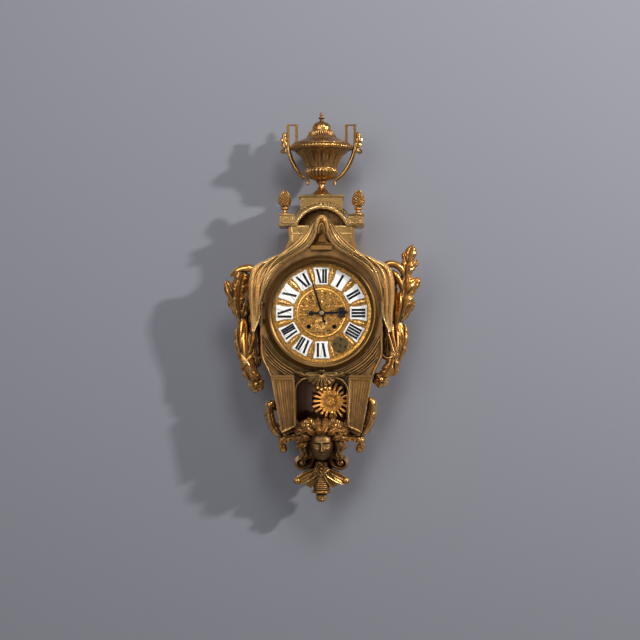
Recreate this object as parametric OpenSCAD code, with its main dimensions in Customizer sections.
// Wall cartel clock in gilt bronze: ornamented case, dial with enamel plaques, striking movement and pendulum.
// Millimetres. +Z is up, the front faces -Y and the wall is the plane y = 0.
// The origin is the hanging hole at the back. Pieces are drawn from the dial centre, x to the right and z up,
// and their depths are counted from the wall to the front.

/* [Case] */
// Drop from the hanging hole to the dial centre
dial_drop = 150; // [146:1:156]
// Depth of the case from the wall to its front face
case_d = 120; // [116:1:132]
// Wall thickness of the case
case_wall = 6; // [4:0.5:7]
// Ledge of the case outside the bezel
case_ledge = 5; // [4:0.5:8]
// Half width of the neck
neck_w = 69; // [66:1:74]
// Thickness of the back board
board_t = 8; // [5:1:10]
// Radius of the hanging hole
hang_r = 4.5; // [3:0.5:6]
// Thickness of the hanger plate
hanger_t = 2; // [1.5:0.5:3]
// Radius of the niche arch
niche_r = 55; // [52:1:57]
// Depth of the niche
niche_d = 44; // [30:1:50]
// Width of the arch band
arch_band = 8; // [6:1:10]
// Half width of the pedestal block
block_w = 44.5; // [42:0.5:48]
// Height of the pedestal block top over the dial centre
block_top = 248.6; // [244:0.2:252]
// Depth of the tail behind the pendant
tail_d = 70; // [55:1:85]

/* [Ornament] */
// Scale of the urn
urn_scale = 1; // [0.9:0.01:1.05]
// Depth of the urn axis from the wall
urn_d = 70; // [66:1:72]
// Distance of the pine cones from the middle
cone_x = 78; // [72:1:80]
// Scale of the pine cones
cone_scale = 1; // [0.85:0.01:1.15]
// Relief of the pilasters over the case front
pilaster_h = 16; // [10:1:20]
// Flutes on each pilaster
flutes = 4; // [3:1:5]
// Relief of the drapery folds
fold_h = 11; // [7:1:13]

/* [Dial] */
// Thickness of the dial plate
dial_t = 2; // [1.5:0.1:3]
// Outer radius of the bezel
bezel_r = 121; // [119:0.5:124]
// Width of the bezel from its rim to the sight opening
bezel_w = 15.5; // [14.5:0.5:17]
// Thickness of the enamel plaques
plaque_t = 1.6; // [1:0.1:2]
// Length of the minute hand as a share of the sight radius
minute_share = 0.93; // [0.8:0.01:0.95]
// Length of the hour hand as a share of the sight radius
hour_share = 0.58; // [0.5:0.01:0.65]
// Thickness of the hands
hand_t = 1.2; // [0.8:0.1:1.6]
// Minutes shown
show_minute = 57.2; // [0:0.1:59.9]
// Hours shown
show_hour = 2.93; // [0:0.01:11.99]
// Thickness of the glass
glass_t = 2; // [1.5:0.1:2.5]

/* [Movement] */
// Radius of the movement plates
plate_r = 55; // [54:0.5:60]
// Thickness of the movement plates
plate_t = 3; // [2:0.1:3.5]
// Length of the plate pillars
pillar_len = 38; // [38:0.5:40]
// Half the distance between the winding arbors
wind_x = 27; // [26.5:0.1:28]
// Drop of the winding arbors below the dial centre
wind_z = 29; // [28.5:0.1:30]
// Radius of the winding arbors
wind_r = 3; // [2.5:0.1:3.2]
// Radius of the barrels
barrel_r = 21; // [18:0.5:21]
// Radius of the centre arbor
centre_r = 1.5; // [1.2:0.1:1.6]
// Radius of the wheel arbors
arbor_r = 0.85; // [0.7:0.05:0.9]
// Radius of the bell
bell_r = 40; // [34:1:42]
// Running clearance of pivots in their holes
run_gap = 0.05; // [0.03:0.01:0.08]
// Gap of pieces that are set in place
seat_gap = 0.15; // [0.1:0.05:0.25]

/* [Pendulum] */
// Length from the suspension to the middle of the bob
pend_len = 234; // [225:1:238]
// Radius of the sunburst bob
bob_r = 38; // [30:1:40]
// Rays of the sunburst
rays = 22; // [16:1:28]
// Radius of the pendulum rod
rod_r = 1.4; // [1:0.1:2]
// Lean of the pendulum to the right
pend_lean = 4.9; // [-5:0.1:5]

/* [Hidden] */

gilt = "#c8973f";
dull = "#8f7a3c";
brass = "#b59a52";
steel = "#6f7378";
dark = "#22242c";
white = "#f2efe6";
wood = "#4a3320";

// Sizes that follow the bezel
case_w = bezel_r + case_ledge;
dial_r = bezel_r - 9;
sight_r = bezel_r - bezel_w;
plaque_out = sight_r - 9.5;
plaque_in = 0.615 * plaque_out;
centre_disc = plaque_in - 7;
minute_len = minute_share * sight_r;
hour_len = hour_share * sight_r;
shell_z = -bezel_r - 3;

// Heights over the dial centre
neck_top = 183;
ledge_t = 4;
plinth_top = 208;
niche_z = neck_top - 19;
niche_floor = 142;
shelf_z = -237;
apron_z = -300;
tail_z = -345;
pilaster_top = -151;
window_w = 53;
window_arch = 24;
window_z = -155;

// Depths
board_d0 = hanger_t;
board_d1 = hanger_t + board_t;
dial_back = case_d - dial_t;
fp_f = case_d - 18;
fp_b = fp_f - plate_t;
bp_f = fp_b - pillar_len;
bp_b = bp_f - plate_t;
pend_d = bp_b - 8;
niche_back = case_d - niche_d;
glass_d = case_d + 8.7;
rebate_r = dial_r - 2.7;
glass_r = rebate_r - 0.3;
glass_rise = 11;
glass_rr = (pow(glass_r, 2) + pow(glass_rise, 2)) / (2 * glass_rise);
function dome_h(r) = sqrt(pow(glass_rr, 2) - r * r) - glass_rr + glass_rise;
lip_d = glass_d + glass_t + dome_h(sight_r) + seat_gap;

// Wheel work: module, then teeth
great_m = 0.55;
second_m = 0.5;
centre_m = 0.42;
third_m = 0.4;
motion_m = 0.4;
great_n = 84;
great_p = 12;
second_n = 72;
second_p = 10;
centre_n = 84;
centre_p = 7;
third_n = 72;
third_p = 7;
pin_n = 60;
cannon_n = 30;
minute_n = 90;
minute_p = 24;
hour_n = 96;

// Third corner of a triangle with base a to b and sides ra and rb
function corner(a, b, ra, rb, side) =
    let (v = b - a, d = norm(v), u = v / d, s = (ra * ra - rb * rb + d * d) / (2 * d), h = sqrt(ra * ra - s * s))
    a + u * s + [u[1], -u[0]] * h * side;
function polar(r, a) = r * [cos(a), sin(a)];
function bearing(a, b) = atan2(b[1] - a[1], b[0] - a[0]);
function pair(m, n, p) = m * (n + p) / 2;

p_centre = [0, 0];
p_going = [wind_x, -wind_z];
p_strike = [-wind_x, -wind_z];
p_second = corner(p_going, p_centre, pair(great_m, great_n, great_p), pair(second_m, second_n, second_p), 1);
p_swheel = [-p_second[0], p_second[1]];
p_third = polar(pair(centre_m, centre_n, centre_p), 60);
third_to_escape = pair(third_m, third_n, third_p);
p_escape = [0, p_third[1] + sqrt(pow(third_to_escape, 2) - pow(p_third[0], 2))];
p_anchor = p_escape + [0, 16];
p_pin = p_swheel + polar(pair(second_m, second_n, second_p), 100);
p_fly = p_pin + polar(pair(third_m, pin_n, third_p), 75);
p_minute = [0, -pair(motion_m, cannon_n, minute_n)];
p_hammer = [-46, 22];
p_stand = [-46, -22];
p_bell = [0, 8];
pillar_at = [[31, 42], [-31, 42], [50, -5], [-50, -12], [0, -51]];
foot_at = [[45, -25], [-45, -25], [26, 43], [-26, 43]];

// Angle at which a wheel of n teeth stands to mesh with one of n1 teeth that stands at a1, seen from it at angle al
function mesh(a1, n1, n, al) = al + 180 - 180 / n + (al - a1) * n1 / n;
a_second_p = mesh(0, great_n, great_p, bearing(p_going, p_second));
a_centre_p = mesh(0, second_n, second_p, bearing(p_second, p_centre));
a_third_p = mesh(0, centre_n, centre_p, bearing(p_centre, p_third));
a_escape_p = mesh(0, third_n, third_p, bearing(p_third, p_escape));
a_swheel_p = mesh(0, great_n, great_p, bearing(p_strike, p_swheel));
a_pin_p = mesh(0, second_n, second_p, bearing(p_swheel, p_pin));
a_fly_p = mesh(0, pin_n, third_p, bearing(p_pin, p_fly));
a_minute = mesh(0, cannon_n, minute_n, bearing(p_centre, p_minute));
a_hour = mesh(0, minute_p, hour_n, bearing(p_minute, p_centre));

// Corners of the pilasters and the slanting flank of the lower case beside them
foot_in = [54.5, shelf_z];
foot_out = [84, shelf_z - 14];
head_in = [56.5, pilaster_top];
head_out = [101.5, pilaster_top];
flank = foot_out - head_out;
function on_flank(t) = head_out + flank * t;

// Outline of the case, right half from the neck to the foot
upper_half = [[neck_w, neck_top], [neck_w, 165], [neck_w - 2, 155], [neck_w + 8, 133], [neck_w + 24, 119],
    [neck_w + 35, 108], [case_w, 97], [case_w, 0], [case_w + 3, -45], [case_w + 1, -92], [case_w - 12, -122],
    [head_out[0] + 1.5, -146], head_out,
    foot_out, foot_in, [47, -262], [38, apron_z]];
tail_half = [[38, apron_z], [27, -325], [14, tail_z]];
function flip(p) = [for (i = [len(p) - 1:-1:0]) [-p[i][0], p[i][1]]];
function both(p) = concat(p, flip(p));
whole_half = concat(upper_half, [[27, -325], [14, tail_z]]);

// Small helpers
module at_dial() translate([0, 0, -dial_drop]) children();
module plate(d0, d1) translate([0, -d0, 0]) rotate([90, 0, 0]) linear_extrude(height = d1 - d0) children();
module spun(p) translate([p[0], 0, p[1]]) rotate([90, 0, 0]) rotate_extrude($fn = 96) children();
module rod_y(p, d0, d1, r) translate([p[0], -d0, p[1]]) rotate([90, 0, 0]) cylinder(r = r, h = d1 - d0, $fn = 48);
module box(x0, x1, d0, d1, z0, z1) translate([x0, -d1, z0]) cube([x1 - x0, d1 - d0, z1 - z0]);
module left_of() mirror([1, 0, 0]) children();

// Moulded strips. Each point of a path is [x, z, depth of the back, half width, height]
bow = [[-1, 0], [-0.72, 0.68], [0, 1], [0.72, 0.68], [1, 0]];
ridge = [[-1, 0], [-0.5, 0.55], [0, 1], [0.5, 0.55], [1, 0]];
tube = [[-1, 0], [-0.7, 0.7], [0, 1], [0.7, 0.7], [1, 0], [0.7, -0.7], [0, -1], [-0.7, -0.7]];
function heading(p, i) = bearing(p[max(i - 1, 0)], p[min(i + 1, len(p) - 1)]);
function slice(q, a, sec) =
    [for (s = sec) [q[0] - s[0] * q[3] * sin(a), -(q[2] + s[1] * q[4]), q[1] + s[0] * q[3] * cos(a)]];
function along(p, t) =
    let (f = t * (len(p) - 1), i = min(floor(f), len(p) - 2), k = f - i) p[i] * (1 - k) + p[i + 1] * k;
module link(a, b) {
    n = len(a);
    hull() polyhedron(points = concat(a, b), faces = concat([[for (k = [0:n - 1]) k]],
        [[for (k = [n - 1:-1:0]) n + k]], [for (k = [0:n - 1]) [k, n + k, n + (k + 1) % n, (k + 1) % n]]));
}
module strip(p, sec = bow)
    for (i = [0:len(p) - 2]) link(slice(p[i], heading(p, i), sec), slice(p[i + 1], heading(p, i + 1), sec));

// Leaf with a rib and pairs of pointed lobes along a path
module leaf(p, lobes = 4, spread = 46, sec = ridge) {
    strip([for (q = p) [q[0], q[1], q[2], q[3] * 0.42, q[4]]], sec);
    for (j = [0:lobes - 1]) for (s = [-1, 1]) {
        t = 0.1 + 0.78 * j / lobes;
        q = along(p, t);
        a = bearing(q, along(p, t + 0.05)) + s * spread;
        w = q[3];
        tip = [q[0] + 1.15 * w * cos(a), q[1] + 1.15 * w * sin(a), q[2], 0.14 * w, 0.35 * q[4]];
        mid = [q[0] + 0.65 * w * cos(a), q[1] + 0.65 * w * sin(a), q[2], 0.4 * w, 0.75 * q[4]];
        strip([[q[0], q[1], q[2], 0.45 * w, 0.85 * q[4]], mid, tip], sec);
    }
}

// Flower with petals round a raised eye
module flower(x, z, d, r, petals, h) {
    for (i = [0:petals - 1]) {
        a = i * 360 / petals;
        w = 2.2 * r / petals;
        strip([[x + 0.2 * r * cos(a), z + 0.2 * r * sin(a), d, 0.5 * w, 0.5 * h],
            [x + 0.7 * r * cos(a), z + 0.7 * r * sin(a), d, w, h],
            [x + r * cos(a), z + r * sin(a), d, 0.4 * w, 0.5 * h]]);
    }
    translate([x, -d, z]) rotate([90, 0, 0]) cylinder(r1 = 0.36 * r, r2 = 0.2 * r, h = 1.25 * h, $fn = 8);
}

// Wheels. Teeth have straight flanks, thick at the root and narrow at the tip
module wheel2d(n, m, turn = 0, root = 0.22, tip = 0.1, out = 0.85, under = 1.25) {
    r0 = m * (n / 2 - under);
    r1 = m * (n / 2 + out);
    polygon([for (i = [0:n - 1]) for (k = [[-root, r0], [-tip, r1], [tip, r1], [root, r0]])
        polar(k[1], turn + (i + k[0]) * 360 / n)]);
}
module leaves2d(n, m, turn) wheel2d(n, m, turn, 0.13, 0.1, 0.7, 1.2);
module crossed(n, m, arms, hub, turn = 0) difference() {
    wheel2d(n, m, turn);
    difference() {
        circle(r = m * (n / 2 - 1.25) - 2.2, $fn = 72);
        circle(r = hub, $fn = 48);
        for (i = [0:arms - 1]) rotate(i * 360 / arms) translate([0, -1.1]) square([m * n, 2.2]);
    }
}
module at(p) translate([p[0], p[1]]) children();

// Case
module case_outline() polygon(both(whole_half));
module window2d() {
    translate([-window_w, shelf_z + case_wall]) square([2 * window_w, window_z - shelf_z - case_wall]);
    for (s = [-1, 1]) translate([s * (window_w - window_arch), window_z]) circle(r = window_arch, $fn = 72);
}
screw_r = 2;
dial_screws = [45, 135, 225, 315];
dial_screw_r = dial_r - 4.1;
lug_r = 7;
lug_side = [case_w - case_wall - 5, 60];
lug_low = on_flank(0.39) - [case_wall + 5, 0];
lug_at = [lug_side, [-lug_side[0], lug_side[1]], lug_low, [-lug_low[0], lug_low[1]], [0, neck_top - case_wall - 4],
    [0, -322]];
lug_end = [board_d1 + 14, board_d1 + 14, board_d1 + 14, board_d1 + 14, niche_back - case_wall + 1,
    tail_d - case_wall + 1];
module case_body() color(dull) at_dial() difference() {
    union() {
        difference() {
            union() {
                plate(0, case_d) polygon(both(upper_half));
                plate(0, tail_d) polygon(both(tail_half));
                box(-22, 22, case_d - 1, case_d + 8, 133, 141);
            }
            plate(-1, case_d - case_wall) intersection() {
                offset(delta = -case_wall) case_outline();
                translate([-200, apron_z + case_wall]) square([400, niche_floor - 12 - apron_z - case_wall]);
            }
            plate(-1, niche_back - case_wall) intersection() {
                offset(delta = -case_wall) case_outline();
                translate([-200, 100]) square([400, neck_top - 100 + 1]);
            }
            plate(-1, tail_d - case_wall) intersection() {
                offset(delta = -case_wall) case_outline();
                translate([-200, tail_z - 1]) square([400, 140]);
            }
        }
        for (i = [0:5]) intersection() {
            rod_y(lug_at[i], board_d1 + seat_gap, lug_end[i], lug_r);
            plate(0, case_d) case_outline();
        }
    }
    plate(niche_back, case_d + 1) polygon([[-niche_r + 4, niche_floor], [niche_r - 4, niche_floor],
        [niche_r - 4, neck_top + 1], [-niche_r + 4, neck_top + 1]]);
    rod_y(p_centre, case_d - case_wall - 1, case_d + 1, dial_r - 10);
    rod_y(p_centre, dial_back, case_d + 1, dial_r + seat_gap);
    plate(case_d - case_wall - 1, case_d + 1) window2d();
    for (p = lug_at) rod_y(p, 0, board_d1 + 12, screw_r + run_gap);
    for (a = dial_screws) rod_y(polar(dial_screw_r, a), dial_back - 4, case_d, 1 + run_gap);
}

module back_board() color(wood) at_dial() difference() {
    plate(board_d0, board_d1) offset(delta = -case_wall - seat_gap) case_outline();
    for (p = lug_at) rod_y(p, board_d0 - 1, board_d1 + 1, screw_r + run_gap);
    rod_y([0, dial_drop], board_d0 - 1, board_d1 + 1, hang_r + 3);
}

module screws() color(steel) at_dial() {
    for (p = lug_at) {
        rod_y(p, board_d0 - 1.2, board_d0, 2 * screw_r);
        rod_y(p, board_d0 - 0.1, board_d1 + 11, screw_r);
    }
    for (a = dial_screws) {
        rod_y(polar(dial_screw_r, a), case_d, case_d + 0.9, 1.2);
        rod_y(polar(dial_screw_r, a), dial_back - 3.5, case_d + 0.1, 1);
    }
}

module hanger() color(steel) difference() {
    union() {
        plate(0, hanger_t) translate([-30, -14]) square([60, 28]);
        plate(0, hanger_t) circle(r = 18, $fn = 72);
    }
    rod_y([0, 0], -1, hanger_t + 1, hang_r);
}

module pedestal() color(gilt) at_dial() {
    difference() {
        union() {
            for (s = [0, 1]) mirror([s, 0, 0]) {
                box(niche_r - 4, neck_w + 21, 10, case_d + 4, neck_top, neck_top + ledge_t);
                box(niche_r, neck_w + 19, 58, case_d, neck_top + ledge_t, plinth_top - 3);
                box(niche_r + 1, neck_w + 21, 56, case_d + 2, plinth_top - 3, plinth_top);
            }
            plate(20, case_d) intersection() {
                translate([0, niche_z]) circle(r = niche_r + arch_band, $fn = 128);
                translate([-100, neck_top]) square([200, 100]);
            }
            box(-block_w, block_w, urn_d - block_w, urn_d + block_w, niche_z + niche_r - 12, block_top);
            box(-block_w - 3, block_w + 3, urn_d - block_w - 3, urn_d + block_w + 3, block_top - 4, block_top);
        }
        plate(niche_back, case_d + 10) translate([0, niche_z]) circle(r = niche_r, $fn = 128);
        plate(-1, niche_back - case_wall) translate([0, niche_z]) circle(r = niche_r, $fn = 128);
        box(-block_w + 6, block_w - 6, -1, urn_d + block_w - 20, niche_z + niche_r + 4, block_top - 8);
    }
    difference() {
        plate(case_d - 0.5, case_d + 3) intersection() {
            translate([0, niche_z]) circle(r = niche_r + arch_band - 1.5, $fn = 128);
            translate([-100, neck_top + ledge_t]) square([200, 100]);
        }
        plate(case_d - 1, case_d + 4) translate([0, niche_z]) circle(r = niche_r + 1.5, $fn = 128);
    }
}

module niche_plaque() color(gilt) at_dial() {
    plate(niche_back, niche_back + 14) polygon([[-22, niche_floor], [22, niche_floor], [22, niche_floor + 5],
        [13, niche_floor + 8], [6, 171], [0, 176], [-6, 171], [-13, niche_floor + 8], [-22, niche_floor + 5]]);
    plate(niche_back + 13, niche_back + 17) polygon([[-9, niche_floor + 9], [9, niche_floor + 9], [3.5, 168],
        [-3.5, 168]]);
}

// Urn, turned about an upright axis. Heights are over the block
bowl_out = [[0, 0], [24, 0], [24, 3], [19, 6], [16, 8], [10, 15], [7, 22], [7, 26], [11, 29], [11, 31], [17, 33],
    [28, 40], [33.5, 48], [34, 52], [33.5, 57], [32, 60], [33, 66], [36, 74], [42, 84], [50, 91], [55, 95.5],
    [61, 97], [66, 100], [67, 103.5], [66, 107], [63, 109.4]];
bowl_in = [[54, 109.4], [52, 104], [48, 96], [38, 86], [31, 74], [29, 62], [29, 50], [24, 43], [0, 41]];
lid_out = [[62, 109.4], [62, 111], [57, 115], [49, 118.4], [38, 120.5], [30, 123], [28, 127], [27.5, 135], [25, 141],
    [20, 146.4], [13, 151.5], [6, 155.4], [6, 158], [7.2, 160.5], [7, 163.4], [4, 165.4], [5, 168.5], [3, 172],
    [0, 173.4]];
lid_in = [[0, 149], [14, 144], [21, 136], [23.5, 126], [28, 118.5], [46, 114], [54, 109.4]];
module urn_at() translate([0, -urn_d, block_top]) scale(urn_scale) children();
module urn_bowl() color(gilt) at_dial() urn_at() rotate_extrude($fn = 96) polygon(concat(bowl_out, bowl_in));
module urn_lid() color(gilt) at_dial() urn_at() rotate_extrude($fn = 96) polygon(concat(lid_out, lid_in));

// Flat band that follows a path, as an outline
function edge(p, i, w) = p[i] + w * [-sin(heading(p, i)), cos(heading(p, i))];
function band(p, w) = concat([for (i = [0:len(p) - 1]) edge(p, i, w[i])],
    [for (i = [len(p) - 1:-1:0]) edge(p, i, -w[i])]);
handle_t = 9;
strap = [[70, 140], [70, 112], [68, 96], [62, 80], [54, 64], [46, 50], [37, 40], [28, 36], [20, 36]];
module urn_handle() urn_at() difference() {
    union() {
        plate(-handle_t / 2, handle_t / 2) polygon([[49, 105], [56, 105], [56, 139], [66, 139], [66, 112], [74, 112],
            [74, 146.5], [49, 146.5]]);
        plate(-handle_t / 2, handle_t / 2) polygon(band(strap, [3.5, 4, 4, 3.8, 3.6, 3.4, 3, 3, 3]));
        plate(-handle_t / 3, handle_t / 3) polygon([[73, 134], [78, 138], [80, 132], [84, 130], [83, 124], [87, 120],
            [83, 115], [87, 108], [90, 101], [86, 97], [80, 98], [76, 94], [70, 92]]);
    }
    rotate_extrude($fn = 96) intersection() {
        offset(delta = seat_gap) polygon(concat(bowl_out, lid_out));
        translate([0, -5]) square([100, 200]);
    }
}
module urn_handle_right() color(gilt) at_dial() urn_handle();
module urn_handle_left() color(gilt) at_dial() left_of() urn_handle();

// Pine cone: turned stem, and a body whose scales stagger from row to row
cone_rows = 9;
cone_side = 24;
function cone_pts(r, h) = [for (j = [0:cone_rows]) for (i = [0:cone_side - 1])
    let (t = j / cone_rows, w = r * (0.3 + 0.75 * pow(sin(180 * pow(0.1 + 0.86 * t, 0.75)), 0.8)),
        k = 1 + 0.08 * cos(8 * i * 360 / cone_side + 180 * (j % 2)))
    [w * k * cos(i * 360 / cone_side), w * k * sin(i * 360 / cone_side), h * t]];
cone_faces = concat([[for (i = [0:cone_side - 1]) i]],
    [[for (i = [cone_side - 1:-1:0]) cone_rows * cone_side + i]],
    [for (j = [0:cone_rows - 1]) for (i = [0:cone_side - 1]) for (h = [0, 1])
        let (a = j * cone_side + i, b = j * cone_side + (i + 1) % cone_side)
        h == 0 ? [a, a + cone_side, b] : [b, a + cone_side, b + cone_side]]);
stem_h = 17;
module pine_cone() translate([cone_x, -case_d + 28, plinth_top]) scale(cone_scale) {
    rotate_extrude($fn = 64) polygon([[0, 0], [11, 0], [11, 2.5], [7, 4], [4.5, 8], [4.5, 10], [8, 12], [9, 13.5],
        [8, 15], [5, stem_h], [0, stem_h]]);
    translate([0, 0, stem_h - 0.5]) polyhedron(points = cone_pts(14.5, 36), faces = cone_faces);
}
module pine_cone_right() color(gilt) at_dial() pine_cone();
module pine_cone_left() color(gilt) at_dial() left_of() pine_cone();

// Drapery: folds gathered at a loop under the arch, spread over the shoulders and hanging in a tail at each side
// The folds keep clear of the bezel
fold_in = 121;
function away(q) = q * (1 + (bezel_r - fold_in) / norm(q) * min(max((185 - q[1]) / 35, 0), 1));
cloth_out = [[16, 206], [30, 198], [46, 185], [60, 165], [76, 140], [95, 120], [115, 110], [136, 102], [151, 76], [153, 35],
    [150, 0], [146, -33]];
cloth_in = [[18, 182], [19, 168], [26, 150], [40, 134], [59, 122], [81, 107], [101, 85], [119, 57], [133.2, 28], [133.5, 0],
    [138, -18], [143, -33]];
fold_n = 4;
module swag() for (k = [0:fold_n - 1]) {
    v = (k + 0.5) / fold_n;
    strip([for (i = [0:len(cloth_out) - 1]) let (q = away(cloth_out[i] * (1 - v) + cloth_in[i] * v),
        w = 0.56 * norm(cloth_out[i] - cloth_in[i]) / fold_n)
        [q[0], q[1], case_d, w, fold_h * (0.8 + 0.2 * (k % 2)) * min(1, (len(cloth_out) - 0.8 - i) / 3)]]);
}
module drapery_right() color(gilt) at_dial() swag();
module drapery_left() color(gilt) at_dial() left_of() swag();
module drapery_knot() color(gilt) at_dial() {
    hood = [[-10, 170, 3, 8], [-10.5, 184, 4.5, 12], [-7, 196, 5, 15], [0.5, 201, 5, 16], [7.5, 196, 5, 15],
        [10.5, 184, 4.5, 12], [10, 170, 3, 8]];
    strip([for (q = hood) [q[0], q[1], case_d, q[2], q[3]]]);
    strip([[0.5, 199, case_d, 3, 8], [0.5, niche_z + niche_r + 0.8, case_d, 2.4, 4]]);
}

// Leaf branches at the sides. Points are [out from the case side, height, depth, half width, height of the relief]
side_d = 78;
module pad(z, w) box(case_w, case_w + w, side_d - 8, side_d + 14, z - 9, z + 9);
function beside(p) = [for (q = p) [case_w + q[0], q[1], side_d + q[2], q[3], q[4]]];
module branch_right() {
    strip(beside([[10, -128, 4, 10, 14], [19, -100, 2, 13, 18], [23, -70, 0, 13, 20], [30, -38, 0, 12, 18],
        [34, -14, 0, 16, 20], [38, 14, 0, 20, 22], [40, 40, 2, 18, 20]]));
    strip(beside([[30, 36, 10, 7, 12], [33, 58, 12, 8, 12], [24, 82, 13, 9, 13], [13, 96, 12, 7, 12],
        [9, 90, 10, 5, 9]]));
    strip(beside([[46, 40, 8, 8, 12], [46, 66, 10, 10, 13], [36, 92, 11, 9, 12], [22, 106, 11, 9, 13],
        [10, 100, 10, 7, 11]]));
    leaf(beside([[42, 34, 2, 15, 14], [50, 62, 3, 19, 16], [54, 92, 3, 18, 14], [58, 118, 4, 14, 11],
        [66, 146, 6, 4, 6]]), 5, 40);
    leaf(beside([[40, -10, 4, 12, 12], [52, 8, 4, 13, 12], [68, 24, 6, 5, 6]]), 3, 40);
    leaf(beside([[44, 10, 4, 14, 12], [58, 40, 4, 16, 12], [77, 72, 6, 5, 6]]), 3, 40);
    strip(beside([[8, 40, 8, 7, 12], [12, 10, 8, 9, 14], [20, -20, 8, 9, 14], [26, -52, 9, 8, 13], [18, -88, 9, 6, 12]]));
    strip(beside([[33, -30, 6, 6, 12], [38, -58, 6, 7, 12], [32, -84, 8, 7, 13], [20, -98, 8, 6, 12]]));
    flower(case_w + 18, -118, side_d + 4, 17, 7, 18);
    flower(case_w - 1, -140, side_d + 8, 16, 7, 18);
    pad(60, 34);
    pad(10, 16);
}
module branch_left() {
    strip(beside([[10, -138, 4, 12, 15], [18, -112, 2, 13, 17], [30, -86, 1, 13, 18], [37, -56, 0, 13, 19],
        [42, -28, 0, 12, 19], [44, -8, 0, 10, 17], [42, 18, 0, 13, 18], [40, 40, 2, 15, 18]]));
    strip(beside([[36, 32, 8, 10, 13], [38, 61, 10, 14, 16], [35, 82, 11.5, 13, 15.5],
        [27, 95, 12.2, 10.5, 14], [15.5, 102, 11.3, 8, 12], [6, 99, 10.2, 5, 10]]));
    leaf(beside([[46, 18, 2, 13, 12], [58, 42, 3, 16, 13], [76, 78, 6, 5, 6]]), 4, 34);
    leaf(beside([[44, 30, 4, 14, 13], [52, 60, 5, 16, 14], [60, 92, 6, 8, 8]]), 4, 34);
    leaf(beside([[48, -2, 4, 9, 10], [60, 18, 4, 10, 10], [70, 42, 6, 4, 6]]), 3, 30);
    strip(beside([[26, 34, 8, 9, 12], [20, 20, 9, 9, 13], [16, 6, 8, 6, 10]]));
    strip(beside([[28, -76, 12, 6, 10], [40, -92, 8, 5, 12], [33, -104, 8, 5, 10]]));
    strip(beside([[46, -72, 8, 5, 10], [30, -92, 12, 5, 11], [16, -104, 8, 5, 10]]));
    strip(beside([[14, -34, 8, 7, 12], [16, -62, 9, 9, 13], [22, -92, 9, 7, 12]]));
    flower(case_w + 11, -150, side_d + 6, 18, 8, 20);
    pad(60, 34);
    pad(10, 38);
}
module leaf_branch_right() color(gilt) at_dial() branch_right();
module leaf_branch_left() color(gilt) at_dial() left_of() branch_left();

// Pilasters with stopped flutes, a moulded cap and a slanting foot
function across(t, u) = (head_in * (1 - u) + head_out * u) * (1 - t) + (foot_in * (1 - u) + foot_out * u) * t;
module pilaster() difference() {
    union() {
        plate(case_d, case_d + pilaster_h) polygon([head_in, head_out, foot_out, foot_in]);
        plate(case_d, case_d + pilaster_h + 4) polygon([head_in, head_out, head_out + [3, 9], head_in + [1, 9]]);
        plate(case_d, case_d + pilaster_h + 2) polygon([across(0.92, 0), across(0.92, 1), foot_out, foot_in]);
    }
    for (i = [0:flutes - 1]) {
        u = 0.16 + 0.68 * (i + 0.5) / flutes;
        w = 0.24 / flutes;
        plate(case_d + pilaster_h - 4, case_d + pilaster_h + 1) {
            polygon([across(0.12, u - w), across(0.12, u + w), across(0.8, u + w), across(0.8, u - w)]);
            translate(across(0.12, u)) circle(r = norm(across(0.12, u + w) - across(0.12, u - w)) / 2, $fn = 32);
        }
    }
}
module pilaster_right() color(dull) at_dial() pilaster();
module pilaster_left() color(dull) at_dial() left_of() pilaster();

// Shell over the pendulum window: ribs that spread from a boss, with beads under it
module shell() color(gilt) at_dial() {
    for (a = [-80:20:80]) {
        n = [sin(a), -cos(a)];
        r = 33 + 5 * cos(a);
        strip([[6 * n[0], shell_z + 4 * n[1], case_d, 3, 6], [0.6 * r * n[0], shell_z + 0.55 * r * n[1], case_d, 5, 9],
            [r * n[0], shell_z + 0.8 * r * n[1], case_d, 4.6, 7]]);
    }
    for (k = [-1, 1]) strip([[k * 10, shell_z - 7, case_d, 5, 8], [k * 34, shell_z - 7, case_d, 6, 8],
        [k * 58, shell_z + 3, case_d, 2.4, 5]]);
    for (p = [[-7, 33], [0, 36.8], [7, 33]]) translate([p[0], -case_d, shell_z - p[1]]) intersection() {
        sphere(r = 4.4, $fn = 12);
        translate([-9, -9, -9]) cube([18, 9, 18]);
    }
}

// Side scrolls: a curled leaf on the flank of the lower case and a small bulb scroll under the pilaster
function coil(c, r0, r1, a0, a1, n) = [for (i = [0:n]) c + polar(r0 + (r1 - r0) * i / n, a0 + (a1 - a0) * i / n)];
module scroll() {
    horn = [[99, -199, 4, 30], [99.5, -192, 5, 34], [104, -187, 6, 36], [110, -192, 7, 38], [112, -208, 8, 38], [109, -228, 8, 37],
        [101, -246, 7.5, 36], [87, -261, 5.5, 34]];
    strip([for (q = horn) [q[0], q[1], case_d - 50, q[2], q[3]]]);
    plate(case_d - 44, case_d - 24) polygon([on_flank(0.84), on_flank(0.99), [96, -256], [102, -242]]);
    low = [[49.2, -260, 5, 28], [60, -260, 6, 30], [73, -261, 7, 30], [81, -267, 7, 29], [84, -277, 6, 27], [83, -287, 7.5, 24],
        [79, -295, 4, 18]];
    strip([for (q = low) [q[0], q[1], case_d - 44, q[2], q[3]]]);
}
module side_scroll_right() color(gilt) at_dial() scroll();
module side_scroll_left() color(gilt) at_dial() left_of() scroll();

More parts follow.
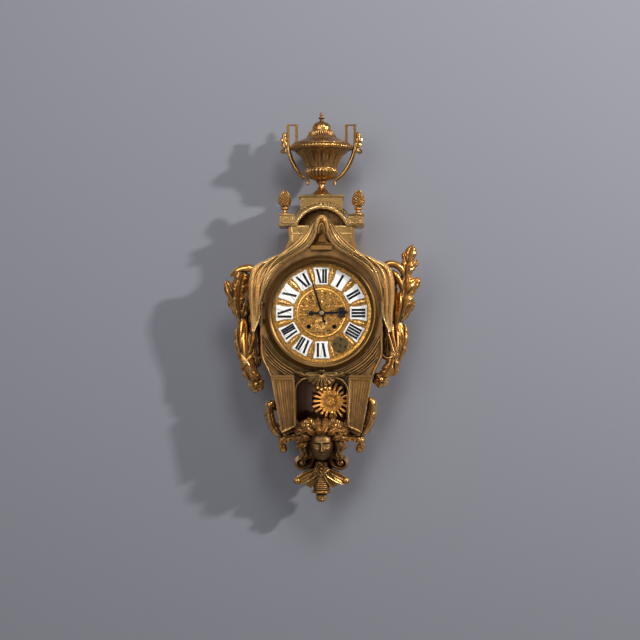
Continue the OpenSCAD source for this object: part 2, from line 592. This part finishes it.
// Mask: plain oval head with waved hair and a wreath of flowers
head_z = -274;
module mask() color(dull) at_dial() {
    intersection() {
        translate([0, -case_d - 6, head_z]) scale([1, 1, 1.3]) sphere(r = 29, $fn = 20);
        box(-60, 60, case_d, case_d + 60, head_z - 60, head_z + 60);
    }
    strip([[0, head_z + 12, case_d + 30, 3, 5], [0, head_z - 2, case_d + 32, 4, 9], [0, head_z - 5, case_d + 30, 5, 6]],
        ridge);
    strip([[-8, head_z - 15, case_d + 29, 1.5, 2], [0, head_z - 15.5, case_d + 30, 2.6, 4.5],
        [8, head_z - 15, case_d + 29, 1.5, 2]]);
    translate([0, -case_d - 20, head_z - 28]) sphere(r = 7.5, $fn = 12);
    for (s = [-1, 1]) {
        translate([s * 10.5, -case_d - 30.5, head_z + 1]) scale([1.3, 1, 0.8]) sphere(r = 3.6, $fn = 12);
        strip([[s * 4, head_z + 7, case_d + 29, 1.4, 4], [s * 11, head_z + 8.5, case_d + 28, 1.6, 4.5],
            [s * 18, head_z + 6, case_d + 24, 1, 3.5]]);
        for (k = [0:3]) strip([for (t = [0:0.25:1]) let (a = 92 - 150 * t)
            [s * (7 * k + (24 + 4 * k) * cos(a)), head_z + 10 + (26 + 5 * k) * sin(a) - 14 * t, case_d, 6, 24 - 5 * k]]);
        for (k = [0:2]) flower(s * (15 + 17 * k), head_z + 48 - 11 * k - 3 * k * k, case_d, 12, 5, 26 - 5 * k);
        strip([[s * 40, head_z + 8, case_d, 8, 14], [s * 46, head_z - 12, case_d, 8, 13],
            [s * 38, head_z - 34, case_d, 7, 11]]);
    }
}

// Pendant: two volutes, a bud, spreading leaves and a ribbed stem
module pendant() color(gilt) at_dial() {
    for (s = [-1, 1]) {
        volute = coil([44, -317], 14.5, 6, -130, 280, 13);
        strip([for (q = volute) [s * q[0], q[1], tail_d, 4.6, 26]]);
        strip([[s * 15, -303, tail_d, 6, 28], [s * 18, -310, tail_d, 7, 31], [s * 25, -321, tail_d, 7, 30],
            [s * 35, -328, tail_d, 6, 27]]);
        for (tip = [[58, -355, 6], [40, -364, 4], [24, -362, 4]])
            strip([[s * 9, -334, tail_d, 6, 26], [s * (9 + 0.5 * (tip[0] - 9)), 0.5 * (tip[1] - 334), tail_d, 9, 23],
                [s * (9 + 0.85 * (tip[0] - 9)), -334 + 0.85 * (tip[1] + 334), tail_d, 8, 18],
                [s * tip[0], tip[1], tail_d, 0.7 * tip[2], 10]]);
    }
    strip([[0, -312, tail_d, 8, 32], [0, -328, tail_d, 14, 38], [0, -344, tail_d, 8, 30]]);
    strip([[0, tail_z - 1, tail_d, 13, 26], [0, -360, tail_d - 6, 13.5, 24], [0, -374, tail_d - 6, 9, 20]]);
}
drop_d = tail_d + 4;
module berry_drop() color(gilt) at_dial() translate([0, -drop_d, 0]) rotate_extrude($fn = 64) polygon([[0, -374],
    [8, -374], [19, -378], [19, -381], [10, -384], [6, -386], [9, -389], [10, -393], [8.5, -398], [4, -401.5],
    [0, -402.5]]);

// Bezel, hinged at the left
hinge_x = -bezel_r - 3.5;
hinge_d = case_d + 5;
knuckle_r = 3.2;
pin_r = 1.5;
knuckle_h = 12;
module bezel() color(dull) at_dial() difference() {
    union() {
        spun(p_centre) polygon([[rebate_r, case_d + 0.3], [bezel_r, case_d + 0.3], [bezel_r, case_d + 5],
            [bezel_r - 2, case_d + 7], [bezel_r - 2, case_d + 9], [bezel_r - 5, case_d + 13], [bezel_r - 7, case_d + 17.5],
            [bezel_r - 9, case_d + 19], [bezel_r - 11, case_d + 18.4], [sight_r + 3, lip_d + 4], [sight_r, lip_d + 2],
            [sight_r, lip_d], [rebate_r, lip_d]]);
        translate([hinge_x, -hinge_d, -knuckle_h]) cylinder(r = knuckle_r, h = 2 * knuckle_h, $fn = 48);
        box(hinge_x, -bezel_r + 3, hinge_d - 2, hinge_d + 2, -knuckle_h, knuckle_h);
        rotate([0, 40, 0]) box(bezel_r - 2, bezel_r + 3.5, case_d + 1, case_d + 5, -5, 5);
    }
    translate([hinge_x, -hinge_d, -knuckle_h - 1]) cylinder(r = pin_r + run_gap, h = 2 * knuckle_h + 2, $fn = 48);
}
function dome(d, n) = [for (i = [0:n]) [glass_r * i / n, d + dome_h(glass_r * i / n)]];
module bezel_glass() color("#dfe8ec", 0.35) at_dial() spun(p_centre)
    polygon(concat(dome(glass_d + glass_t, 12), [for (i = [12:-1:0]) dome(glass_d, 12)[i]]));
ear_gap = 0.3;
ear_h = 8;
module bezel_hinge() color(dull) at_dial() difference() {
    for (s = [0, 1]) mirror([0, 0, s]) {
        translate([hinge_x, -hinge_d, knuckle_h + ear_gap]) cylinder(r = knuckle_r, h = ear_h, $fn = 48);
        box(hinge_x - 2, hinge_x + 2, case_d, hinge_d, knuckle_h + ear_gap, knuckle_h + ear_gap + ear_h);
        box(hinge_x - 4, hinge_x + 2, case_d, case_d + 1.2, knuckle_h + ear_gap, knuckle_h + ear_gap + ear_h + 8);
    }
    translate([hinge_x, -hinge_d, -60]) cylinder(r = pin_r + 0.02, h = 120, $fn = 48);
}
module hinge_pin() color(steel) at_dial() translate([hinge_x, -hinge_d, -knuckle_h - ear_gap - ear_h]) {
    cylinder(r = pin_r, h = 2 * (knuckle_h + ear_gap + ear_h), $fn = 48);
    translate([0, 0, 2 * (knuckle_h + ear_gap + ear_h)]) cylinder(r = pin_r + 1, h = 1.6, $fn = 48);
}

// Dial. The plaque at five is missing, and its seat shows the rivet holes
missing = 5;
pipe_r = 4.2;
module dial_plate() color(gilt) at_dial() difference() {
    union() {
        rod_y(p_centre, dial_back, case_d, dial_r);
        spun(p_centre) polygon([[0, case_d - 1], [centre_disc, case_d - 1], [centre_disc, case_d + 0.6],
            [centre_disc - 2, case_d + 1.2], [centre_disc - 4, case_d + 0.6], [0, case_d + 0.6]]);
        spun(p_centre) polygon([[plaque_out + 3, case_d - 1], [sight_r + 1, case_d - 1], [sight_r + 1, case_d + 0.6],
            [sight_r - 1.5, case_d + 1.2], [plaque_out + 3, case_d + 0.4]]);
        spun([0, -25]) polygon([[0, case_d - 1], [15, case_d - 1], [15, case_d + 1.2], [13, case_d + 1.6],
            [11.5, case_d + 1], [0, case_d + 1.2]]);
        for (p = foot_at) rod_y(p, fp_f, dial_back + 0.1, 3);
    }
    rod_y(p_centre, dial_back - 1, case_d + 3, pipe_r + 0.8);
    for (p = [p_going, p_strike]) rod_y(p, dial_back - 1, case_d + 3, 4.8);
    for (p = [[-7, 10], [7, 10], [0, -12], [0, 1]])
        rod_y(polar((plaque_in + plaque_out) / 2 + p[1], 90 - 30 * missing) + [p[0] * 0.86, p[0] * -0.5], dial_back - 1,
            case_d + 3, 1.1);
    for (a = dial_screws) rod_y(polar(dial_screw_r, a), dial_back - 1, case_d + 2, 1 + run_gap);
}
shield_half = [[0, 1], [0.5, 0.95], [0.86, 1], [1, 0.9], [0.94, 0.65], [0.81, 0.2], [0.75, -0.25], [0.73, -0.6], [0.79, -0.84],
    [0.7, -0.97], [0.35, -0.94], [0, -0.98]];
function shield(h, w) = [for (q = concat(shield_half, [for (i = [len(shield_half) - 2:-1:1])
    [-shield_half[i][0], shield_half[i][1]]])) [w * q[0], h * q[1]]];
module numeral_plaques() color(white) at_dial() for (i = [1:12]) if (i != missing)
    plate(case_d, case_d + plaque_t) rotate(-30 * i) translate([0, (plaque_in + plaque_out) / 2])
        polygon(shield((plaque_out - plaque_in) / 2, 0.183 * plaque_out));

// Hands
cannon_r = 2.6;
hour_d = case_d + 4;
minute_d = hour_d + hand_t + 1.4;
module pointed(len, w) polygon([[-w, 0], [-w * 0.8, len * 0.5], [-w * 0.3, len * 0.92], [0, len], [w * 0.3, len * 0.92],
    [w * 0.8, len * 0.5], [w, 0]]);
module hour_hand() color(dark) at_dial() rotate([0, 30 * show_hour, 0]) difference() {
    union() {
        rod_y(p_centre, hour_d, hour_d + hand_t, pipe_r + 3);
        plate(hour_d, hour_d + hand_t) pointed(hour_len, 2.6);
        plate(hour_d, hour_d + hand_t) rotate(180) pointed(0.5 * hour_len, 2.8);
        for (s = [-1, 1]) rod_y([s * 4.2, 0.69 * hour_len], hour_d, hour_d + hand_t, 4.2);
        plate(hour_d, hour_d + hand_t) translate([0, 0.69 * hour_len]) polygon([[-7, 2], [0, 14], [7, 2], [0, -9]]);
        rod_y([0, -0.36 * hour_len], hour_d, hour_d + hand_t, 5);
    }
    for (s = [-1, 1]) {
        rod_y([s * 4.6, 0.69 * hour_len], hour_d - 1, hour_d + hand_t + 1, 1.9);
        rod_y([s * 3, -0.36 * hour_len], hour_d - 1, hour_d + hand_t + 1, 1.2);
    }
    rod_y(p_centre, hour_d - 1, hour_d + hand_t + 1, pipe_r + 0.02);
}
module minute_hand() color(dark) at_dial() rotate([0, 6 * show_minute, 0]) difference() {
    union() {
        rod_y(p_centre, minute_d, minute_d + hand_t, cannon_r + 3.4);
        plate(minute_d, minute_d + hand_t) pointed(minute_len, 2.2);
        plate(minute_d, minute_d + hand_t) rotate(180) pointed(0.28 * minute_len, 2.4);
        rod_y([0, -0.18 * minute_len], minute_d, minute_d + hand_t, 3.6);
    }
    rod_y(p_centre, minute_d - 1, minute_d + hand_t + 1, cannon_r + 0.02);
}
nut_d = minute_d + hand_t + 0.1;
module hand_nut() color(steel) at_dial() spun(p_centre) polygon([[centre_r + 0.02, nut_d], [5, nut_d],
    [5, nut_d + 1.5], [3.6, nut_d + 2.9], [centre_r + 0.02, nut_d + 2.9]]);

// Movement plates
thick = arbor_r + 0.35;
holes = [[p_going, wind_r], [p_strike, wind_r], [p_centre, centre_r], [p_second, thick], [p_swheel, thick],
    [p_pin, thick], [p_third, arbor_r], [p_escape, arbor_r], [p_fly, arbor_r], [p_hammer, thick]];
module front_plate() color(brass) at_dial() difference() {
    rod_y(p_centre, fp_b, fp_f, plate_r);
    for (h = holes) rod_y(h[0], fp_b - 1, fp_f + 1, h[1] + run_gap);
    rod_y(p_anchor, fp_b - 1, fp_f + 1, arbor_r + run_gap);
    rod_y(p_minute, fp_b - 1, fp_f + 1, thick + run_gap);
}
module back_plate() color(brass) at_dial() difference() {
    rod_y(p_centre, bp_b, bp_f, plate_r);
    for (h = holes) rod_y(h[0], bp_b - 1, bp_f + 1, h[1] + run_gap);
    rod_y(p_anchor, bp_b - 1, bp_f + 1, 5);
}
module plate_pillars() color(brass) at_dial() for (p = pillar_at) spun(p) polygon([[0, bp_f], [3.4, bp_f],
    [3.4, bp_f + 3], [2.4, bp_f + 5], [3, bp_f + pillar_len / 2], [2.4, fp_b - 5], [3.4, fp_b - 3], [3.4, fp_b], [0, fp_b]]);

// Going and strike barrels with their great wheels
module barrel(p) difference() {
    union() {
        plate(bp_f + 3, bp_f + 5.2) at(p) wheel2d(great_n, great_m);
        rod_y(p, bp_f + 5, bp_f + 26, barrel_r);
    }
    rod_y(p, bp_f, bp_f + 40, wind_r + run_gap);
    spun(p) polygon([[wind_r + 2, bp_f + 6.5], [barrel_r - 1.5, bp_f + 6.5], [barrel_r - 1.5, bp_f + 24.5],
        [wind_r + 2, bp_f + 24.5]]);
}
module going_barrel() color(brass) at_dial() barrel(p_going);
module strike_barrel() color(brass) at_dial() barrel(p_strike);
module winding(p) {
    rod_y(p, bp_b, fp_f + 4, wind_r);
    plate(fp_f + 4, case_d - 3) at(p) square([3.6, 3.6], center = true);
}
module going_winding_arbor() color(steel) at_dial() winding(p_going);
module strike_winding_arbor() color(steel) at_dial() winding(p_strike);

module arbor(p, r, d0, d1) rod_y(p, d0, d1, r);
module second_wheel() color(brass) at_dial() {
    arbor(p_second, thick, bp_b, fp_f);
    plate(bp_f + 1.5, bp_f + 6.4) at(p_second) leaves2d(great_p, great_m, a_second_p);
    plate(bp_f + 29, bp_f + 30.6) at(p_second) crossed(second_n, second_m, 5, 4);
}
module centre_arbor() color(brass) at_dial() {
    arbor(p_centre, centre_r, bp_b, minute_d + hand_t + 4);
    plate(bp_f + 27.6, bp_f + 32) leaves2d(second_p, second_m, a_centre_p);
    plate(bp_f + 11, bp_f + 12.6) crossed(centre_n, centre_m, 5, 4);
}
module third_wheel() color(brass) at_dial() {
    arbor(p_third, arbor_r, bp_b, fp_f);
    plate(bp_f + 9.8, bp_f + 13.8) at(p_third) leaves2d(centre_p, centre_m, a_third_p);
    plate(bp_f + 17, bp_f + 18.4) at(p_third) crossed(third_n, third_m, 5, 3.2);
}
escape_r = 12;
escape_n = 30;
module escape_wheel() color(brass) at_dial() {
    arbor(p_escape, arbor_r, bp_b, fp_f);
    plate(bp_f + 15.8, bp_f + 19.6) at(p_escape) leaves2d(third_p, third_m, a_escape_p);
    plate(bp_f + 23, bp_f + 24) at(p_escape) difference() {
        polygon([for (i = [0:escape_n - 1]) for (k = [[0, 0.82], [0.12, 1], [0.2, 1], [0.5, 0.82]])
            polar(escape_r * k[1], (i + k[0]) * 360 / escape_n)]);
        difference() {
            circle(r = 0.82 * escape_r - 1.8, $fn = 64);
            circle(r = 2.6, $fn = 32);
            for (i = [0:4]) rotate(i * 72) translate([0, -0.8]) square([12, 1.6]);
        }
    }
}

// Pendulum, anchor and cock share the anchor's axis
module at_pivot() translate([p_anchor[0], 0, p_anchor[1]]) rotate([0, -pend_lean, 0]) children();
crutch_len = 28;
anchor_path = [[0, 0], [5, -0.4], [9.4, -2.6], [11.4, -6]];
module anchor() color(steel) at_dial() at_pivot() {
    rod_y([0, 0], bp_b - 5.6, fp_f, arbor_r);
    plate(bp_f + 22, bp_f + 25) difference() {
        union() {
            circle(r = 2.6, $fn = 32);
            for (s = [0, 1]) mirror([s, 0]) polygon(band(anchor_path, [1.5, 1.3, 1.1, 0.7]));
        }
        circle(r = arbor_r - 0.1, $fn = 32);
    }
    plate(bp_b - 2.6, bp_b - 0.6) difference() {
        union() {
            circle(r = 2.6, $fn = 32);
            translate([-1.2, -crutch_len]) square([2.4, crutch_len]);
            translate([-rod_r - 2.4, -crutch_len - 1]) square([2 * rod_r + 4.8, 3]);
        }
        circle(r = arbor_r - 0.1, $fn = 32);
    }
    for (s = [-1, 1]) plate(pend_d - 2.5, bp_b - 2) translate([s * (rod_r + 1.3) - 1, -crutch_len - 1]) square([2, 3]);
}
module back_cock() color(brass) at_dial() difference() {
    union() {
        box(-20, 20, bp_b - 6, bp_b - 3.2, p_anchor[1] - 4, p_anchor[1] + 6);
        for (s = [-1, 1]) box(s * 17 - 3, s * 17 + 3, bp_b - 3.3, bp_b, p_anchor[1] - 4, p_anchor[1] + 2);
        box(-4, 4, pend_d - 4, bp_b - 5.9, p_anchor[1] + 3.2, p_anchor[1] + 6);
        box(-2.5, 2.5, pend_d - 0.2, pend_d + 0.2, p_anchor[1] + 0.3, p_anchor[1] + 3.3);
    }
    rod_y(p_anchor, bp_b - 8, bp_b, arbor_r + run_gap);
}
boss_r = 4;
boss_h = 17;
module pendulum_rod() color(steel) at_dial() at_pivot() {
    box(-2.5, 2.5, pend_d - 0.2, pend_d + 0.2, -7, 0);
    box(-3, 3, pend_d - 1.8, pend_d + 1.8, -9, -5);
    translate([0, -pend_d, -pend_len - bob_r - 12]) cylinder(r = rod_r, h = pend_len + bob_r + 4, $fn = 32);
}
module burst(r, inner, n, turn) polygon([for (i = [0:2 * n - 1]) polar(i % 2 == 0 ? r : inner, turn + i * 180 / n)]);
module pendulum_bob() color("#e0a53a") at_dial() at_pivot() translate([0, 0, -pend_len]) difference() {
    union() {
        plate(pend_d + 2, pend_d + 4.4) burst(bob_r, 0.55 * bob_r, rays, 0);
        plate(pend_d + 2, pend_d + 6.2) burst(0.8 * bob_r, 0.42 * bob_r, rays, 90 / rays * 2);
        spun([0, 0]) polygon([[0, pend_d + 2], [13, pend_d + 2], [13, pend_d + 7], [9.5, pend_d + 9],
            [9, pend_d + 11.5], [5, pend_d + 13.5], [0, pend_d + 14]]);
        translate([0, -pend_d, -bob_r - 1]) cylinder(r = boss_r, h = bob_r + 1 + boss_h, $fn = 48);
    }
    translate([0, -pend_d, -60]) cylinder(r = rod_r + run_gap, h = 120, $fn = 32);
}
module rating_nut() color(brass) at_dial() at_pivot() translate([0, -pend_d, -pend_len - bob_r - 6]) difference() {
    rotate_extrude($fn = 64) polygon([[0, 0], [5.5, 0], [6.5, 1], [6.5, 4], [5.5, 5], [0, 5]]);
    translate([0, 0, -1]) cylinder(r = rod_r + run_gap, h = 8, $fn = 32);
}

// Motion work between the front plate and the dial
module cannon_pinion() color(brass) at_dial() difference() {
    union() {
        rod_y(p_centre, fp_f + 1, minute_d + hand_t, cannon_r);
        plate(fp_f + 2, fp_f + 4.5) wheel2d(cannon_n, motion_m);
    }
    rod_y(p_centre, fp_f, minute_d + 10, centre_r + 0.02);
}
module minute_wheel() color(brass) at_dial() {
    arbor(p_minute, thick, fp_b, fp_f + 9.5);
    plate(fp_f + 2.4, fp_f + 4) at(p_minute) crossed(minute_n, motion_m, 4, 5.4, a_minute);
    plate(fp_f + 3.5, fp_f + 8) at(p_minute) wheel2d(minute_p, motion_m);
}
module hour_wheel() color(brass) at_dial() difference() {
    union() {
        rod_y(p_centre, fp_f + 5.6, hour_d + hand_t + 0.6, pipe_r);
        plate(fp_f + 5.6, fp_f + 7.2) crossed(hour_n, motion_m, 4, 6.5, a_hour);
    }
    rod_y(p_centre, fp_f, case_d + 20, cannon_r + 0.3);
}

// Strike work
module strike_wheel() color(brass) at_dial() {
    arbor(p_swheel, thick, bp_b - 6, fp_f);
    plate(bp_f + 1.5, bp_f + 6.4) at(p_swheel) leaves2d(great_p, great_m, a_swheel_p);
    plate(bp_f + 34, bp_f + 35.6) at(p_swheel) crossed(second_n, second_m, 5, 4);
}
module count_wheel() color(brass) at_dial() plate(bp_b - 5, bp_b - 3) at(p_swheel) difference() {
    circle(r = 16, $fn = 96);
    for (i = [1:12]) rotate(i * (i + 1) / 2 * 360 / 78) translate([13.4, -0.35]) square([4, 0.7]);
    circle(r = thick + 0.02, $fn = 32);
}
module pin_wheel() color(brass) at_dial() {
    arbor(p_pin, thick, bp_b, fp_f);
    plate(bp_f + 32.6, bp_f + 36.8) at(p_pin) leaves2d(second_p, second_m, a_pin_p);
    plate(bp_f + 23, bp_f + 24.4) at(p_pin) crossed(pin_n, third_m, 4, 3.4);
    for (i = [0:9]) rod_y(p_pin + polar(10.2, 36 * i), bp_f + 20, bp_f + 23.2, 0.6);
}
module fly() color(brass) at_dial() {
    arbor(p_fly, arbor_r, bp_b, fp_f);
    plate(bp_f + 22, bp_f + 25.6) at(p_fly) leaves2d(third_p, third_m, a_fly_p);
    plate(bp_f + 5, bp_f + 16) at(p_fly) square([14, 1.6], center = true);
}
module hammer() color(steel) at_dial() {
    rod_y(p_hammer, bp_b - 24, fp_f, thick);
    plate(bp_f + 20, bp_f + 22) at(p_hammer) rotate(bearing(p_hammer, p_pin)) translate([0, -1.2]) square([10.6, 2.4]);
    plate(bp_b - 23, bp_b - 21) at(p_hammer) translate([-1.4, -17]) square([2.8, 17]);
    translate([p_bell[0] - bell_r - 6.5, -bp_b + 22, p_bell[1]]) rotate([0, 90, 0]) cylinder(r = 3.4, h = 5.5, $fn = 32);
}
bell_mouth = bp_b - 18;
bell_h = bell_mouth - board_d1 - 6;
bell_t = 2.2;
module bell() color(brass) at_dial() difference() {
    spun(p_bell) polygon([[0, bell_mouth - bell_h], [12, bell_mouth - bell_h], [0.55 * bell_r, bell_mouth - 0.92 * bell_h],
        [0.75 * bell_r, bell_mouth - 0.75 * bell_h], [bell_r - 5, bell_mouth - 0.5 * bell_h],
        [bell_r - 2, bell_mouth - 0.17 * bell_h], [bell_r, bell_mouth], [bell_r - bell_t, bell_mouth],
        [bell_r - 2 - bell_t, bell_mouth - 0.17 * bell_h], [bell_r - 5 - bell_t, bell_mouth - 0.5 * bell_h],
        [0.75 * bell_r - bell_t, bell_mouth - 0.75 * bell_h + bell_t],
        [0.5 * bell_r, bell_mouth - 0.92 * bell_h + bell_t],
        [12, bell_mouth - bell_h + bell_t], [0, bell_mouth - bell_h + bell_t]]);
    rod_y(p_bell, 0, bell_mouth, 2 + run_gap);
}
stand_d = bell_mouth - bell_h - 4;
module bell_stand() color(steel) at_dial() {
    rod_y(p_stand, stand_d, bp_b, 2.5);
    plate(stand_d, stand_d + 3.9) polygon(band([p_stand, p_bell], [3, 3]));
    rod_y(p_bell, stand_d, stand_d + 3.9, 3);
    rod_y(p_bell, stand_d, bell_mouth - bell_h + bell_t + 5, 2);
    rod_y(p_bell, bell_mouth - bell_h + bell_t + 0.1, bell_mouth - bell_h + bell_t + 3, 4);
}

case_body();
back_board();
screws();
hanger();
pedestal();
niche_plaque();
urn_bowl();
urn_lid();
urn_handle_left();
urn_handle_right();
pine_cone_left();
pine_cone_right();
drapery_knot();
drapery_left();
drapery_right();
leaf_branch_left();
leaf_branch_right();
pilaster_left();
pilaster_right();
shell();
side_scroll_left();
side_scroll_right();
mask();
pendant();
berry_drop();
bezel();
bezel_glass();
bezel_hinge();
hinge_pin();
dial_plate();
numeral_plaques();
hour_hand();
minute_hand();
hand_nut();
front_plate();
back_plate();
plate_pillars();
going_barrel();
going_winding_arbor();
second_wheel();
centre_arbor();
third_wheel();
escape_wheel();
anchor();
back_cock();
pendulum_rod();
pendulum_bob();
rating_nut();
cannon_pinion();
minute_wheel();
hour_wheel();
strike_barrel();
strike_winding_arbor();
strike_wheel();
count_wheel();
pin_wheel();
fly();
hammer();
bell();
bell_stand();
